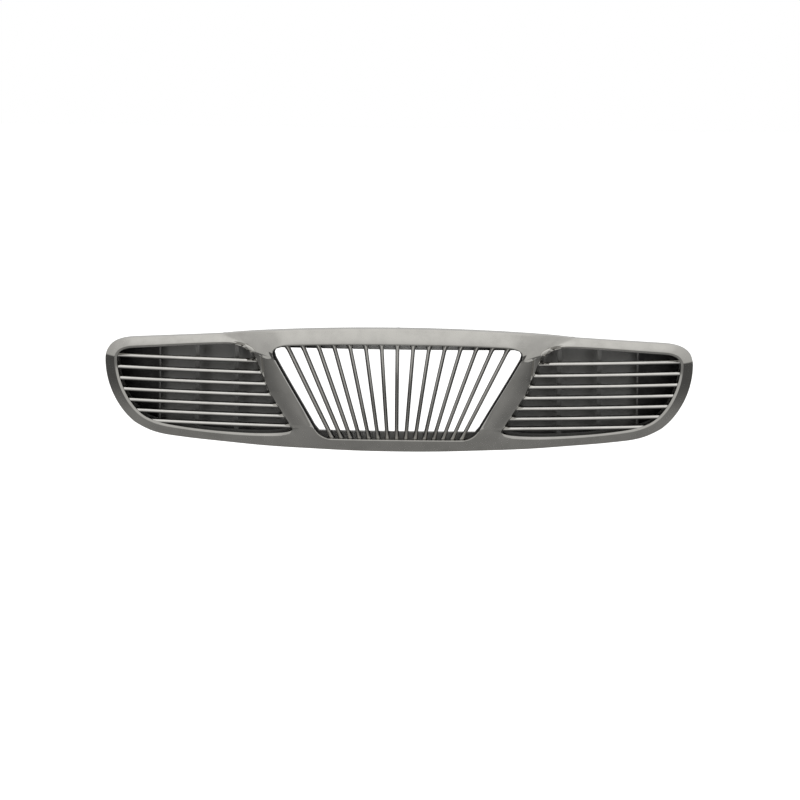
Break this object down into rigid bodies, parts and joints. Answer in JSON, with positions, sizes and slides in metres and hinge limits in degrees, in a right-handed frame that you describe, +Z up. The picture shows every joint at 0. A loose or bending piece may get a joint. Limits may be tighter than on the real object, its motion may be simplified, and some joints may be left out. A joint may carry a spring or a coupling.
{
  "type": "front grille",
  "caption": "Chromed car front grille: bowed surround with a central opening of fanned bars, side openings of level slats over blanking trays, and its fixings.",
  "frame": {"origin": "on the underside of the centre tab, on the mid-plane of the grille", "axes": "+X along the grille, -Y to the front of the car, +Z up"},
  "size_m": [0.86, 0.1392, 0.1823],
  "materials": {
    "surround_chrome": "bright plated",
    "bar_chrome": "bright plated",
    "slat_chrome": "bright plated",
    "centre_frame_plastic": "fine grain",
    "side_frame_plastic": "fine grain",
    "tray_plastic": "fine grain",
    "screw_zinc": "zinc plated",
    "bracket_zinc": "zinc plated",
    "spring_steel": "phosphate coated",
    "retainer_nylon": "as moulded",
    "pin_nylon": "as moulded"
  },
  "bodies": {
    "root": {"bar_01": "bar_chrome", "bar_02": "bar_chrome", "bar_03": "bar_chrome", "bar_04": "bar_chrome", "bar_05": "bar_chrome", "bar_06": "bar_chrome", "bar_07": "bar_chrome", "bar_08": "bar_chrome", "bar_09": "bar_chrome", "bar_10": "bar_chrome", "bar_11": "bar_chrome", "bar_12": "bar_chrome", "bar_13": "bar_chrome", "bar_14": "bar_chrome", "bar_15": "bar_chrome", "centre_frame": "centre_frame_plastic", "centre_retainer": "retainer_nylon", "centre_retainer_pin": "pin_nylon", "centre_screw_1": "screw_zinc", "centre_screw_2": "screw_zinc", "centre_screw_3": "screw_zinc", "centre_screw_4": "screw_zinc", "left_bracket": "bracket_zinc", "left_end_tray": "tray_plastic", "left_retainer": "retainer_nylon", "left_retainer_pin": "pin_nylon", "left_screw_1": "screw_zinc", "left_screw_2": "screw_zinc", "left_side_frame": "side_frame_plastic", "left_slat_1": "slat_chrome", "left_slat_2": "slat_chrome", "left_slat_3": "slat_chrome", "left_slat_4": "slat_chrome", "left_slat_5": "slat_chrome", "left_slat_6": "slat_chrome", "left_slat_7": "slat_chrome", "left_spring_nut": "spring_steel", "left_tray": "tray_plastic", "right_bracket": "bracket_zinc", "right_end_tray": "tray_plastic", "right_retainer": "retainer_nylon", "right_retainer_pin": "pin_nylon", "right_screw_1": "screw_zinc", "right_screw_2": "screw_zinc", "right_side_frame": "side_frame_plastic", "right_slat_1": "slat_chrome", "right_slat_2": "slat_chrome", "right_slat_3": "slat_chrome", "right_slat_4": "slat_chrome", "right_slat_5": "slat_chrome", "right_slat_6": "slat_chrome", "right_slat_7": "slat_chrome", "right_spring_nut": "spring_steel", "right_tray": "tray_plastic", "surround": "surround_chrome"}
  },
  "joints": []
}
